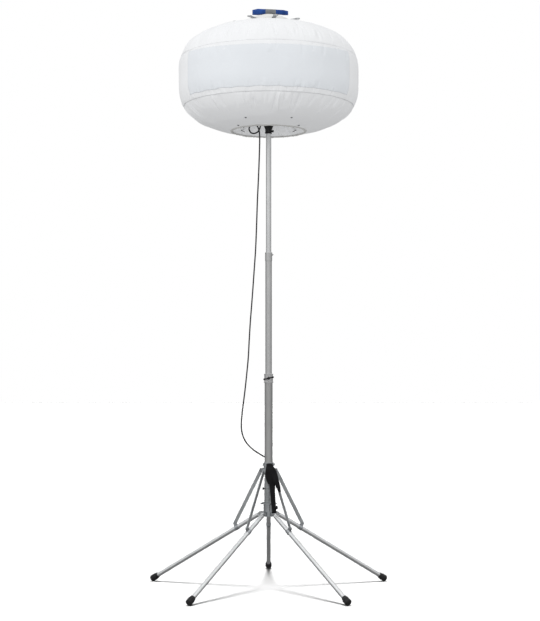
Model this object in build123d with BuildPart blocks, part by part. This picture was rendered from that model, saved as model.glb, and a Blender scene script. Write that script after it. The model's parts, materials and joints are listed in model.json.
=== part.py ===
# Balloon work light on a two-slide telescopic mast with a folding five-legged stand.
# Millimetres, +Z up, origin on the mast axis at the floor. Azimuths run from +Y towards +X.
from build123d import *
import os
from math import atan, cos, degrees, hypot, pi, radians, sin, tan

# ---------------------------------------------------------------- stand
leg_azimuths = [0, 72, 144, 216, 288]
leg_slope = 31.3
leg_pivot_r, leg_pivot_z = 62.0, 529.0
leg_tube_r, leg_wall = 15.0, 2.0
leg_tube_start, leg_tube_end = 20.0, 975.0
tongue_thickness, tongue_r = 12.0, 12.0
foot_start, foot_corner, foot_end, foot_r = 926.0, 980.7, 988.0, 24.0
bracket_along, bracket_up = 208.0, 32.0
bracket_ring_r, bracket_length, bracket_ear_r, bracket_ear = 18.0, 30.0, 10.0, 5.0
strut_width, strut_thickness, strut_slot = 24.0, 5.0, 5.8
collar_pivot_r, collar_pivot_z = 55.5, 839.0
pin_r, running_clearance = 4.0, 0.05

# ---------------------------------------------------------------- mast
lower_r, middle_r, upper_r, tube_wall = 28.5, 23.5, 19.0, 2.2
lower_bottom, lower_top = 516.0, 1485.0
middle_bottom, middle_top = 1385.0, 2390.0
upper_bottom, upper_top = 2255.0, 3290.0
slide_gap = 0.35
sleeve_bottom, sleeve_top, sleeve_r = 607.0, 779.0, 30.5
clamp_bottom, clamp_top, clamp_r = 1465.0, 1528.0, 31.0
clamp_screw_z, clamp_screw_r = 1497.0, 5.0
tommy_bar_out, tommy_bar_half, tommy_bar_r, tommy_bar_tilt = 52.0, 39.0, 5.0, 14.0
ferrule_bottom, ferrule_top, ferrule_r = 2335.0, 2397.0, 25.5
button_z, button_r, button_azimuth = 2381.0, 4.0, 90
bush_length, bush_inset = 40.0, 5.0
fit_gap = 0.05

# ---------------------------------------------------------------- hand screws
hub_knob_azimuth, hub_knob_z, hub_screw_r = 108, 573.0, 5.0
sleeve_knob_azimuth, sleeve_knob_z, sleeve_screw_r = 252, 708.0, 4.0
head_knob_azimuth, head_knob_z, head_screw_r = 112, 3262.0, 3.5
thread_gap = 0.3

# ---------------------------------------------------------------- head and balloon
mast_head_bottom = 3245.0
head_bottom, head_top, head_r, head_wall = 3330.0, 3440.0, 105.0, 4.0
motor_bottom, motor_top, motor_r, shaft_r, shaft_top = 3334.0, 3378.0, 38.0, 6.0, 3425.0
impeller_z, impeller_r, impeller_blades = 3386.0, 88.0, 18
lamp_bottom, lamp_top, lamp_r = 3463.0, 3756.0, 52.0
cage_r, cage_rod_r, cage_rods, cage_ring_heights = 92.0, 4.0, 6, (3560.0, 3760.0, 3960.0)
balloon_r = 640.0
crown_z, crown_height = 3680.0, 340.0
belly_z, belly_height = 3580.0, 330.0
bulge = 2.5
fabric = 1.5
upper_seam_z, lower_seam_z = 3775.0, 3435.0
mouth_r, top_hole_r, top_hole_z = 263.5, 120.0, 4036.0
cap_r, cap_top, cap_brim_r = 62.0, 4090.0, 168.0
handle_top, handle_half, handle_centre, handle_width = 4137.0, 125.0, 16.0, 34.0
guy_z, guy_thickness, guy_first, guy_count = 4034.0, 5.0, 33, 8
guy_eye_at, guy_eye_r, guy_hole_r, guy_tab_width = 243.0, 17.0, 11.0, 26.0

# ---------------------------------------------------------------- supply cable
cable_r = 5.0
cable_upper_route = [
    (-58, 9, 3306), (-64, 9, 3274), (-90, 6, 3249), (-126, 3, 3249), (-144, 0, 3281),
    (-126, -4, 3313), (-88, -8, 3313), (-68, -9, 3276), (-63, -9, 3222), (-65, -9, 3130),
    (-69, -8, 3010), (-74, -6, 2895), (-80, -5, 2775), (-84, -4, 2650), (-88, -4, 2530),
    (-90.5, -4, 2470),
]
cable_middle_route = [
    (-90.5, -4, 2470), (-93, -4, 2410), (-101, -3, 2300), (-110, -2, 2170), (-120, -2, 2035),
    (-131, -2, 1900), (-139, -3, 1765), (-145, -4, 1640), (-155, -5, 1540), (-161, -5.5, 1482),
]
cable_lower_route = [
    (-161, -5.5, 1482), (-167, -6, 1424), (-180, -6, 1320), (-193, -5, 1215), (-197, -2, 1140),
    (-184, 4, 1078), (-156, 10, 1028), (-115, 18, 987), (-70, 30, 955), (-28, 46, 931),
    (5, 62, 903), (23, 76, 862), (23, 76, 815),
]

os.makedirs("parts", exist_ok=True)


def save(builder, name):
    builder.part.label = name
    export_step(builder.part, f"parts/{name}.step")


def radial_plane(azimuth, up=0.0):
    """Vertical plane of one leg: local x runs outward, local y runs up, at the mast axis."""
    tangent = (cos(radians(azimuth)), -sin(radians(azimuth)), 0)
    outward = (sin(radians(azimuth)), cos(radians(azimuth)), 0)
    return Plane(origin=(0, 0, up), x_dir=outward, z_dir=tangent)


def outward_plane(azimuth, radius, height):
    """Plane facing outward from the mast at the given radius and height; local y runs up."""
    outward = (sin(radians(azimuth)), cos(radians(azimuth)), 0)
    tangent = (-cos(radians(azimuth)), sin(radians(azimuth)), 0)
    origin = (radius * outward[0], radius * outward[1], height)
    return Plane(origin=origin, x_dir=tangent, z_dir=outward)


def leg_point(along, up=0.0):
    """Outward and height coordinates of a point on an open leg."""
    slope = radians(leg_slope)
    return (
        leg_pivot_r + along * cos(slope) + up * sin(slope),
        leg_pivot_z - along * sin(slope) + up * cos(slope),
    )


def leg_plane(azimuth, along):
    """Plane square to an open leg at a distance along it; local y points to the leg's upper side."""
    slope = radians(leg_slope)
    out, height = leg_point(along)
    side = (sin(radians(azimuth)), cos(radians(azimuth)))
    direction = (side[0] * cos(slope), side[1] * cos(slope), -sin(slope))
    tangent = (-side[1], side[0], 0)
    return Plane(origin=(side[0] * out, side[1] * out, height), x_dir=tangent, z_dir=direction)


def ring(name, inner, outer, bottom, top):
    """A plain tube or bush about the mast axis, saved under its name."""
    with BuildPart() as tube:
        with BuildSketch(Plane.XY.offset(bottom)):
            Circle(outer)
            Circle(inner, mode=Mode.SUBTRACT)
        extrude(amount=top - bottom)
    save(tube, name)


def turned_piece(name, outline, centre=(0, 0)):
    """A solid of revolution from radius and height points, about a vertical axis."""
    with BuildPart() as turned:
        with BuildSketch(Plane(origin=(*centre, 0), x_dir=(1, 0, 0), z_dir=(0, -1, 0))):
            with BuildLine():
                Polyline(*outline, close=True)
            make_face()
        revolve(axis=Axis((*centre, 0), (0, 0, 1)))
    save(turned, name)


# ================================================================ stand: hub and legs
ear_gap, ear_thickness, ear_r = 12.6, 6.0, 14.0
hub_r, hub_bottom, hub_top, hub_floor = 36.0, 509.0, 598.0, 6.0
lug_r, lug_thickness, lug_slot_start, lug_slot_width = 58.0, 8.0, 46.0, 36.0
bolt_head_r, bolt_head_height = 7.5, 3.0

with BuildPart() as hub:
    with BuildSketch(Plane.XY.offset(hub_bottom)):
        Circle(hub_r)
    extrude(amount=hub_top - hub_bottom)
    with BuildSketch(Plane.XY.offset(hub_top)):
        Circle(lug_r)
    extrude(amount=lug_thickness)
    for azimuth in leg_azimuths:
        side = (ear_gap + ear_thickness) / 2
        for shift in (-side, side):
            with BuildSketch(radial_plane(azimuth).offset(shift)):
                with Locations((leg_pivot_r, leg_pivot_z)):
                    Circle(ear_r)
                with Locations(((leg_pivot_r + hub_r - 4) / 2, leg_pivot_z)):
                    Rectangle(leg_pivot_r - hub_r + 4, 2 * ear_r)
            extrude(amount=ear_thickness / 2, both=True)
        with BuildSketch(outward_plane(azimuth, lug_slot_start, hub_top + lug_thickness / 2)):
            Rectangle(lug_slot_width, 3 * lug_thickness)
        extrude(amount=lug_r, mode=Mode.SUBTRACT)
        with BuildSketch(radial_plane(azimuth)):
            with Locations((leg_pivot_r, leg_pivot_z)):
                Circle(pin_r)
        extrude(amount=ear_gap, both=True, mode=Mode.SUBTRACT)
    with BuildSketch(Plane.XY.offset(hub_bottom + hub_floor)):
        Circle(lower_r + fit_gap)
    extrude(amount=hub_top - hub_bottom + lug_thickness, mode=Mode.SUBTRACT)
    with BuildSketch(outward_plane(hub_knob_azimuth, 0, hub_knob_z)):
        Circle(hub_screw_r + thread_gap)
    extrude(amount=2 * hub_r, mode=Mode.SUBTRACT)
save(hub, "hub")

with BuildPart() as leg_pins:
    for azimuth in leg_azimuths:
        with BuildSketch(radial_plane(azimuth)):
            with Locations((leg_pivot_r, leg_pivot_z)):
                Circle(pin_r)
        extrude(amount=ear_gap / 2 + ear_thickness, both=True)
        ear_face = ear_gap / 2 + ear_thickness
        for shift in (-(ear_face + bolt_head_height), ear_face):
            with BuildSketch(radial_plane(azimuth).offset(shift)):
                with Locations((leg_pivot_r, leg_pivot_z)):
                    RegularPolygon(bolt_head_r, 6)
            extrude(amount=bolt_head_height)
save(leg_pins, "leg_pins")

tongue_overlap, plug_depth = 4.0, 22.0

for number, azimuth in enumerate(leg_azimuths, start=1):
    with BuildPart() as leg_tube:
        with BuildSketch(leg_plane(azimuth, leg_tube_start)):
            Circle(leg_tube_r)
        extrude(amount=leg_tube_end - leg_tube_start)
        with BuildSketch(leg_plane(azimuth, leg_tube_start + plug_depth)):
            Circle(leg_tube_r - leg_wall)
        extrude(amount=leg_tube_end, mode=Mode.SUBTRACT)
        with BuildSketch(radial_plane(azimuth)):
            with Locations(leg_point(0)):
                Circle(tongue_r)
            tongue_middle = leg_point((leg_tube_start + tongue_overlap) / 2)
            with Locations(Location((*tongue_middle, 0), (0, 0, -leg_slope))):
                Rectangle(leg_tube_start + tongue_overlap, 2 * tongue_r)
        extrude(amount=tongue_thickness / 2, both=True)
        with BuildSketch(radial_plane(azimuth)):
            with Locations(leg_point(0)):
                Circle(pin_r + running_clearance)
        extrude(amount=tongue_thickness, both=True, mode=Mode.SUBTRACT)
    save(leg_tube, f"leg_tube_{number}")

    with BuildPart() as foot:
        with BuildSketch(radial_plane(azimuth)):
            with BuildLine():
                Polyline(
                    leg_point(foot_start, leg_tube_r + fit_gap),
                    leg_point(foot_start, foot_r - 5),
                    leg_point(foot_start + 5, foot_r - 3),
                    leg_point(foot_start + 16, foot_r - 3),
                    leg_point(foot_start + 20, foot_r),
                    leg_point(foot_corner, foot_r),
                    leg_point(foot_end, foot_r - 7),
                    leg_point(foot_end, 0),
                    leg_point(leg_tube_end + 2 * fit_gap, 0),
                    leg_point(leg_tube_end + 2 * fit_gap, leg_tube_r + fit_gap),
                    close=True,
                )
            make_face()
        revolve(axis=Axis(leg_plane(azimuth, 0).origin, leg_plane(azimuth, 0).z_dir))
        split(bisect_by=Plane.XY, keep=Keep.TOP)
    save(foot, f"foot_{number}")

    with BuildPart() as bracket:
        with BuildSketch(leg_plane(azimuth, bracket_along - bracket_length / 2)):
            Circle(bracket_ring_r)
        extrude(amount=bracket_length)
        for shift in (-(strut_slot + bracket_ear) / 2, (strut_slot + bracket_ear) / 2):
            with BuildSketch(radial_plane(azimuth).offset(shift)):
                with Locations(leg_point(bracket_along, bracket_up)):
                    Circle(bracket_ear_r)
                middle = Location((*leg_point(bracket_along, bracket_up / 2), 0), (0, 0, -leg_slope))
                with Locations(middle):
                    Rectangle(2 * bracket_ear_r, bracket_up)
            extrude(amount=bracket_ear / 2, both=True)
        with BuildSketch(leg_plane(azimuth, bracket_along - bracket_length)):
            Circle(leg_tube_r + fit_gap)
        extrude(amount=2 * bracket_length, mode=Mode.SUBTRACT)
        with BuildSketch(radial_plane(azimuth)):
            with Locations(leg_point(bracket_along, bracket_up)):
                Circle(pin_r)
        extrude(amount=strut_slot / 2 + bracket_ear + 3, both=True)
    save(bracket, f"leg_bracket_{number}")

# ================================================================ stand: struts and sliding collar
bracket_pivot = leg_point(bracket_along, bracket_up)
strut_rise = collar_pivot_z - bracket_pivot[1]
strut_run = collar_pivot_r - bracket_pivot[0]
strut_length = hypot(strut_rise, strut_run)
strut_tilt = degrees(atan(strut_run / strut_rise))
strut_middle = ((collar_pivot_r + bracket_pivot[0]) / 2, (collar_pivot_z + bracket_pivot[1]) / 2)

for number, azimuth in enumerate(leg_azimuths, start=1):
    with BuildPart() as strut:
        with BuildSketch(radial_plane(azimuth)):
            with Locations(Location((*strut_middle, 0), (0, 0, -strut_tilt))):
                Rectangle(strut_width, strut_length)
            with Locations(bracket_pivot, (collar_pivot_r, collar_pivot_z)):
                Circle(strut_width / 2)
        extrude(amount=strut_thickness / 2, both=True)
        with BuildSketch(radial_plane(azimuth)):
            with Locations(bracket_pivot, (collar_pivot_r, collar_pivot_z)):
                Circle(pin_r + running_clearance)
        extrude(amount=strut_thickness, both=True, mode=Mode.SUBTRACT)
    save(strut, f"strut_{number}")

collar_disc_r, collar_disc_bottom, collar_disc_top = 64.0, 827.0, 851.0
collar_ring_r, collar_ring_top, collar_skirt_bottom = 34.5, 895.0, 808.0
collar_slot_start, collar_slot_height, collar_screw_depth = 42.0, 60.0, 8.0
collar_nub_top, collar_nub_height, collar_nub_width = 887.0, 18.0, 16.0

with BuildPart() as strut_collar:
    with BuildSketch(Plane.XY.offset(collar_skirt_bottom)):
        Circle(collar_ring_r)
    extrude(amount=collar_ring_top - collar_skirt_bottom)
    with BuildSketch(Plane.XY.offset(collar_disc_bottom)):
        Circle(collar_disc_r)
    extrude(amount=collar_disc_top - collar_disc_bottom)
    chamfer(strut_collar.faces().sort_by(Axis.Z)[-1].edges(), 1.2)
    for side in (-1, 1):
        with BuildSketch(Plane.XY.offset(collar_nub_top - collar_nub_height)):
            with Locations((side * (collar_ring_r + 2), 0)):
                Rectangle(12, collar_nub_width)
        extrude(amount=collar_nub_height)
    for azimuth in leg_azimuths:
        with BuildSketch(outward_plane(azimuth, collar_slot_start, collar_pivot_z)):
            Rectangle(strut_slot, collar_slot_height)
        extrude(amount=collar_disc_r, mode=Mode.SUBTRACT)
    with BuildSketch(Plane.XY.offset(collar_skirt_bottom)):
        Circle(lower_r + slide_gap)
    extrude(amount=collar_ring_top, mode=Mode.SUBTRACT)
    for azimuth in leg_azimuths:
        with BuildSketch(radial_plane(azimuth)):
            with Locations((collar_pivot_r, collar_pivot_z)):
                Circle(pin_r)
        extrude(amount=strut_slot / 2 + collar_screw_depth, both=True, mode=Mode.SUBTRACT)
save(strut_collar, "strut_collar")

with BuildPart() as collar_screws:
    for azimuth in leg_azimuths:
        for side in (-1, 1):
            with BuildSketch(radial_plane(azimuth).offset(side * strut_slot / 2)):
                with Locations((collar_pivot_r, collar_pivot_z)):
                    Circle(pin_r - 0.02)
            extrude(amount=side * (collar_screw_depth - 0.5))
save(collar_screws, "collar_screws")

# The webbing strap: its front outline, cut from a ribbon that falls over the collar's disc.
strap_outline = [
    (-16, 888), (26, 888), (27, 873), (48, 816), (57, 787), (44, 758), (43, 737), (51, 622),
    (56, 537), (24, 537), (23, 556), (16, 622), (12, 694), (1, 744), (-18, 782),
]
strap_fall = [(-42, 888), (-45, 864), (-72, 853), (-84, 800), (-91, 740), (-94, 640), (-93, 537)]
strap_thickness = 4.0
with BuildPart() as strap:
    with BuildSketch(Plane.YZ.offset(-40)):
        with BuildLine():
            Polyline(
                *strap_fall,
                *[(y - strap_thickness, z + strap_thickness / 4) for y, z in reversed(strap_fall)],
                close=True,
            )
        make_face()
    extrude(amount=120)
    with BuildSketch(Plane.XZ.offset(30)):
        with BuildLine():
            Polyline(*strap_outline, close=True)
        make_face()
    extrude(amount=90, mode=Mode.INTERSECT)
save(strap, "strap")

# ================================================================ mast
ring("lower_tube", lower_r - tube_wall, lower_r, lower_bottom, lower_top)
ring("base_sleeve", lower_r + fit_gap, sleeve_r, sleeve_bottom, sleeve_top)
ring("middle_tube", middle_r - tube_wall, middle_r, middle_bottom, middle_top)
ring("upper_tube", upper_r - tube_wall, upper_r, upper_bottom, upper_top)
for name, inner_r, outer_r, bottom in (
    ("middle_bush", middle_r, lower_r - tube_wall, middle_bottom + bush_inset),
    ("upper_bush", upper_r, middle_r - tube_wall, upper_bottom + bush_inset),
):
    ring(name, inner_r + fit_gap, outer_r - slide_gap, bottom, bottom + bush_length)

clamp_azimuth, clamp_boss_r, clamp_head_start, clamp_head_end, clamp_head_r = 180, 9.0, 43.0, 61.0, 10.0
tommy_ball_r = 7.0

with BuildPart() as mast_clamp:
    with BuildSketch(Plane.XZ):
        with BuildLine():
            Polyline(
                (middle_r + slide_gap, lower_top + 0.2),
                (lower_r + fit_gap, lower_top + 0.2),
                (lower_r + fit_gap, clamp_bottom),
                (clamp_r + 3, clamp_bottom),
                (clamp_r + 3, clamp_bottom + 7),
                (clamp_r, clamp_bottom + 9),
                (clamp_r, clamp_top - 8),
                (clamp_r + 1.5, clamp_top - 6),
                (clamp_r + 1.5, clamp_top - 1),
                (clamp_r + 0.5, clamp_top),
                (middle_r + slide_gap, clamp_top),
                close=True,
            )
        make_face()
    revolve(axis=Axis.Z)
    with BuildSketch(outward_plane(clamp_azimuth, middle_r + 3, clamp_screw_z)):
        Circle(clamp_boss_r)
    extrude(amount=15)
    with BuildSketch(outward_plane(clamp_azimuth, 0, clamp_screw_z)):
        Circle(clamp_screw_r + thread_gap)
    extrude(amount=2 * clamp_r, mode=Mode.SUBTRACT)
save(mast_clamp, "mast_clamp")

with BuildPart() as clamp_screw:
    with BuildSketch(outward_plane(clamp_azimuth, middle_r + 0.7, clamp_screw_z)):
        Circle(clamp_screw_r)
    extrude(amount=clamp_head_start - middle_r)
    with BuildSketch(outward_plane(clamp_azimuth, clamp_head_start, clamp_screw_z)):
        Circle(clamp_head_r)
    extrude(amount=clamp_head_end - clamp_head_start)
    chamfer(clamp_screw.faces().sort_by(Axis.Y)[0].edges(), 2)
    bar_direction = (cos(radians(tommy_bar_tilt)), 0, sin(radians(tommy_bar_tilt)))
    bar_middle = Vector(0, -tommy_bar_out, clamp_screw_z)
    for side in (-1, 1):
        direction = Vector(*bar_direction) * side
        with BuildSketch(Plane(origin=bar_middle, z_dir=direction)):
            Circle(tommy_bar_r)
        extrude(amount=tommy_bar_half - tommy_ball_r + 1)
        with Locations(bar_middle + direction * (tommy_bar_half - tommy_ball_r)):
            Sphere(tommy_ball_r)
save(clamp_screw, "clamp_screw")


def knob(name, azimuth, height, tip_r, stem_r, head_start, head_end, knob_r):
    """A black hand screw that points at the mast: a threaded stem and a fluted round head."""
    with BuildPart() as hand_screw:
        with BuildSketch(outward_plane(azimuth, tip_r, height)):
            Circle(stem_r)
        extrude(amount=head_start - tip_r + 1)
        with BuildSketch(outward_plane(azimuth, head_start, height)):
            Circle(knob_r)
            with PolarLocations(knob_r + 1.2, 6):
                Circle(2.6, mode=Mode.SUBTRACT)
        extrude(amount=head_end - head_start)
        outward = Axis((0, 0, height), outward_plane(azimuth, 0, 0).z_dir)
        chamfer(hand_screw.faces().sort_by(outward)[-1].edges(), 1.0)
    save(hand_screw, name)


knob("hub_knob", hub_knob_azimuth, hub_knob_z, lower_r + 0.6, hub_screw_r, 46, 66, 11.5)
knob("sleeve_knob", sleeve_knob_azimuth, sleeve_knob_z, sleeve_r + 0.4, sleeve_screw_r, 35, 45, 8.5)
knob("mast_head_knob", head_knob_azimuth, head_knob_z, upper_r + 0.6, head_screw_r, 28, 38, 8.0)

with BuildPart() as middle_ferrule:
    with BuildSketch(Plane.XZ):
        with BuildLine():
            Polyline(
                (middle_r + fit_gap, ferrule_bottom),
                (ferrule_r - 0.8, ferrule_bottom),
                (ferrule_r, ferrule_bottom + 1),
                (ferrule_r, ferrule_top - 2),
                (ferrule_r - 1, ferrule_top),
                (upper_r + slide_gap, ferrule_top),
                (upper_r + slide_gap, middle_top + 2 * fit_gap),
                (middle_r + fit_gap, middle_top + 2 * fit_gap),
                close=True,
            )
        make_face()
    revolve(axis=Axis.Z)
    with BuildSketch(outward_plane(button_azimuth, middle_r + 1, button_z)):
        Circle(button_r + 3)
    extrude(amount=6)
    with BuildSketch(outward_plane(button_azimuth, middle_r + 1.2, button_z)):
        Circle(button_r + thread_gap)
    extrude(amount=20, mode=Mode.SUBTRACT)
save(middle_ferrule, "middle_ferrule")

with BuildPart() as snap_button:
    with BuildSketch(outward_plane(button_azimuth, middle_r + 3.5, button_z)):
        Circle(button_r)
    extrude(amount=7)
    chamfer(snap_button.faces().sort_by(Axis.X)[-1].edges(), 1)
save(snap_button, "snap_button")

# ================================================================ head inside the balloon
head_nub_azimuth, head_nub_r = 285, 4.0
vent_count, bottom_vent_r, top_vent_r = 24, 78.0, 88.0
impeller_plate, impeller_hub_r, blade_r, blade_angle = 2.0, 14.0, 72.0, 35

with BuildPart() as mast_head:
    with BuildSketch(Plane.XZ):
        with BuildLine():
            Polyline(
                (upper_r + fit_gap, mast_head_bottom),
                (upper_r + 3, mast_head_bottom),
                (upper_r + 5, mast_head_bottom + 10),
                (upper_r + 5, mast_head_bottom + 31),
                (34, mast_head_bottom + 55),
                (36, head_bottom),
                (0, head_bottom),
                (0, upper_top + 0.5),
                (upper_r + fit_gap, upper_top + 0.5),
                close=True,
            )
        make_face()
    revolve(axis=Axis.Z)
    with BuildSketch(outward_plane(head_knob_azimuth, upper_r + 1, head_knob_z)):
        Circle(head_screw_r + 2.5)
    extrude(amount=7)
    with BuildSketch(outward_plane(head_knob_azimuth, 0, head_knob_z)):
        Circle(head_screw_r + thread_gap)
    extrude(amount=50, mode=Mode.SUBTRACT)
    with BuildSketch(outward_plane(head_nub_azimuth, upper_r + 2, mast_head_bottom + 9)):
        Circle(head_nub_r)
    extrude(amount=6)
save(mast_head, "mast_head")

with BuildPart() as head_housing:
    with BuildSketch(Plane.XY.offset(head_bottom)):
        Circle(head_r)
    extrude(amount=head_top - head_bottom)
    chamfer(head_housing.faces().sort_by(Axis.Z)[0].edges(), 5)
    with BuildSketch(Plane.XY.offset(head_bottom + head_wall)):
        Circle(head_r - 3)
    extrude(amount=head_top - head_bottom - 2 * head_wall, mode=Mode.SUBTRACT)
    with BuildSketch(Plane.XY.offset(head_bottom)):
        with PolarLocations(bottom_vent_r, vent_count):
            Rectangle(30, 5)
    extrude(amount=head_wall, mode=Mode.SUBTRACT)
    with BuildSketch(Plane.XY.offset(head_top - head_wall)):
        with PolarLocations(top_vent_r, vent_count):
            Rectangle(18, 8)
    extrude(amount=head_wall, mode=Mode.SUBTRACT)
save(head_housing, "head_housing")

turned_piece(
    "blower_motor",
    [
        (0, motor_bottom), (motor_r, motor_bottom), (motor_r, motor_top), (12, motor_top + 3),
        (shaft_r, motor_top + 3), (shaft_r, shaft_top), (0, shaft_top),
    ],
)

with BuildPart() as impeller:
    for outer, height, level in (
        (impeller_r, impeller_plate, impeller_z),
        (impeller_hub_r, 20, impeller_z + impeller_plate),
    ):
        with BuildSketch(Plane.XY.offset(level)):
            Circle(outer)
            Circle(shaft_r + fit_gap, mode=Mode.SUBTRACT)
        extrude(amount=height)
    with BuildSketch(Plane.XY.offset(impeller_z + impeller_plate)):
        with PolarLocations(blade_r, impeller_blades):
            with Locations(Location((0, 0, 0), (0, 0, blade_angle))):
                Rectangle(26, 1.6)
    extrude(amount=32)
save(impeller, "impeller")

turned_piece(
    "lamp_holder",
    [
        (0, head_top), (45, head_top), (45, head_top + 6), (26, head_top + 10), (26, head_top + 44),
        (18, head_top + 44), (18, lamp_bottom - 1), (0, lamp_bottom - 1),
    ],
)
turned_piece(
    "lamp",
    [
        (0, lamp_bottom), (17, lamp_bottom), (17, lamp_bottom + 37), (26, lamp_bottom + 57),
        (48, lamp_bottom + 117), (lamp_r, lamp_bottom + 157), (44, lamp_top - 86), (22, lamp_top - 41),
        (17, lamp_top - 4), (0, lamp_top),
    ],
)

cage_ring_width, cage_ring_height = 14.0, 5.0
with BuildPart() as lamp_cage:
    with BuildSketch(Plane.XY.offset(head_top)):
        with PolarLocations(cage_r, cage_rods):
            Circle(cage_rod_r)
    extrude(amount=top_hole_z - head_top - 6)
    for height in cage_ring_heights:
        with BuildSketch(Plane.XY.offset(height)):
            Circle(cage_r + cage_ring_width / 2)
            Circle(cage_r - cage_ring_width / 2, mode=Mode.SUBTRACT)
        extrude(amount=cage_ring_height)
save(lamp_cage, "lamp_cage")


# ================================================================ balloon
def crown_point(radius):
    """Radius and height on the balloon's rounded upper half."""
    return (radius, crown_z + crown_height * (1 - (radius / balloon_r) ** bulge) ** (1 / bulge))


def side_radius(height):
    """Radius of the balloon at a height, for its crown, straight wall and belly."""
    rise = max(height - crown_z, 0) / crown_height + max(belly_z - height, 0) / belly_height
    return balloon_r * (1 - rise**bulge) ** (1 / bulge)


mouth_z = belly_z - belly_height * (1 - (mouth_r / balloon_r) ** bulge) ** (1 / bulge)
side_heights = [upper_seam_z, 3745, 3710, 3680, 3630, 3580, 3545, 3505, 3470, lower_seam_z]
belly_heights = [lower_seam_z, 3400, 3365, 3335, 3308, 3286, mouth_z]
crown_line = [(top_hole_r, top_hole_z), (200, 4021)] + [crown_point(r) for r in (300, 400, 480, 545, 595)]
crown_line.append((side_radius(upper_seam_z), upper_seam_z))
side_line = [(side_radius(z), z) for z in side_heights]
belly_line = [(side_radius(z), z) for z in belly_heights]
balloon_middle = (300.0, (crown_z + belly_z) / 2)


def inset(point):
    """The point moved one cloth thickness towards the inside of the balloon."""
    radius, height = point
    inward = (balloon_middle[0] - radius, balloon_middle[1] - height)
    reach = hypot(*inward)
    return (radius + fabric * inward[0] / reach, height + fabric * inward[1] / reach)


def cloth_panel(name, line):
    """A ring of balloon cloth: its outline and the same outline one cloth thickness inside."""
    inner = [inset(point) for point in line]
    with BuildPart() as panel:
        with BuildSketch(Plane.XZ):
            with BuildLine():
                Spline(*line)
                Line(line[-1], inner[-1])
                Spline(*reversed(inner))
                Line(inner[0], line[0])
            make_face()
        revolve(axis=Axis.Z)
    save(panel, name)


cloth_panel("balloon_crown", crown_line)
cloth_panel("balloon_side", side_line)
cloth_panel("balloon_belly", belly_line)

skirt_line = [(mouth_r - 2, mouth_z + 1), (head_r + 2 * fit_gap, head_bottom + 18)]
with BuildPart() as balloon_skirt:
    with BuildSketch(Plane.XZ):
        with BuildLine():
            Polyline(*skirt_line, *[(r, z + 2 * fabric) for r, z in reversed(skirt_line)], close=True)
        make_face()
    revolve(axis=Axis.Z)
save(balloon_skirt, "balloon_skirt")

hem_half, hem_depth = 4.0, 7.0
ring("balloon_hem", mouth_r - hem_half, mouth_r + hem_half, mouth_z - hem_depth, mouth_z - 2 * fit_gap)

cap_neck_r, cap_wall = 116.0, 4.0
turned_piece(
    "top_cap",
    [
        (cap_brim_r, top_hole_z - 3), (cap_brim_r, top_hole_z + 8), (cap_brim_r - 8, top_hole_z + 14),
        (cap_brim_r - 50, top_hole_z + 34), (cap_r + 14, top_hole_z + 44), (cap_r, cap_top - 4),
        (cap_r - 7, cap_top), (0, cap_top), (0, cap_top - cap_wall), (cap_r - 10, cap_top - cap_wall),
        (cap_r - 4, cap_top - 8), (cap_r + 12, top_hole_z + 40), (cap_neck_r - cap_wall, top_hole_z + 31),
        (cap_neck_r - cap_wall, top_hole_z - 4), (cap_neck_r, top_hole_z - 4), (cap_neck_r, top_hole_z + 30),
        (cap_brim_r - 12, top_hole_z + 10), (cap_brim_r - cap_wall, top_hole_z + 5),
        (cap_brim_r - cap_wall, top_hole_z - 4),
    ],
)

with BuildPart() as lift_handle:
    with BuildSketch(Plane.XZ.offset(-handle_width / 2)):
        with BuildLine():
            Polyline(
                (handle_centre - handle_half, cap_top + 4),
                (handle_centre - handle_half + 8, handle_top),
                (handle_centre + handle_half - 10, handle_top - 4),
                (handle_centre + handle_half, cap_top + 6),
                (handle_centre + handle_half - 14, cap_top + 2 * fit_gap),
                (handle_centre - handle_half + 16, cap_top + 2 * fit_gap),
                close=True,
            )
        make_face()
    extrude(amount=handle_width)
    fillet(lift_handle.edges().filter_by(Axis.Y), 3)
save(lift_handle, "lift_handle")

with BuildPart() as guy_rings:
    tab_middle = (cap_brim_r + 0.1 + guy_eye_at) / 2
    with BuildSketch(Plane.XY.offset(guy_z)):
        with PolarLocations(tab_middle, guy_count, start_angle=90 - guy_first):
            Rectangle(guy_eye_at - cap_brim_r - 0.1, guy_tab_width)
        with PolarLocations(guy_eye_at, guy_count, start_angle=90 - guy_first):
            Circle(guy_eye_r)
            Circle(guy_hole_r, mode=Mode.SUBTRACT)
    extrude(amount=guy_thickness)
save(guy_rings, "guy_rings")


# ================================================================ supply cable
def bend_radii(route):
    """For each inner point: 0.45 of the shorter run over the tangent of half the turn."""
    points = [Vector(*point) for point in route]
    radii = []
    for before, here, after in zip(points, points[1:], points[2:]):
        turn = radians((here - before).get_angle(after - here))
        shorter = min((here - before).length, (after - here).length)
        radii.append(0.45 * shorter / tan(turn / 2))
    return radii


def cable_piece(name, route):
    """A round tube along straight runs joined by tangent arcs."""
    radii = bend_radii(route)
    with BuildPart() as cable:
        with BuildLine() as path:
            FilletPolyline(*route, radius=radii)
        with BuildSketch(Plane(origin=path.line @ 0, z_dir=path.line % 0)):
            Circle(cable_r)
        sweep(path=path.line)
    save(cable, name)
    length = sum(edge.length for edge in path.edges())
    ratio = cable.part.volume / (pi * cable_r**2 * length)
    print(name, "length", round(length), "volume ratio", round(ratio, 4))
    print("  bend radii", [round(radius) for radius in radii])


cable_piece("cable_upper", cable_upper_route)
cable_piece("cable_middle", cable_middle_route)
cable_piece("cable_lower", cable_lower_route)

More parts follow.
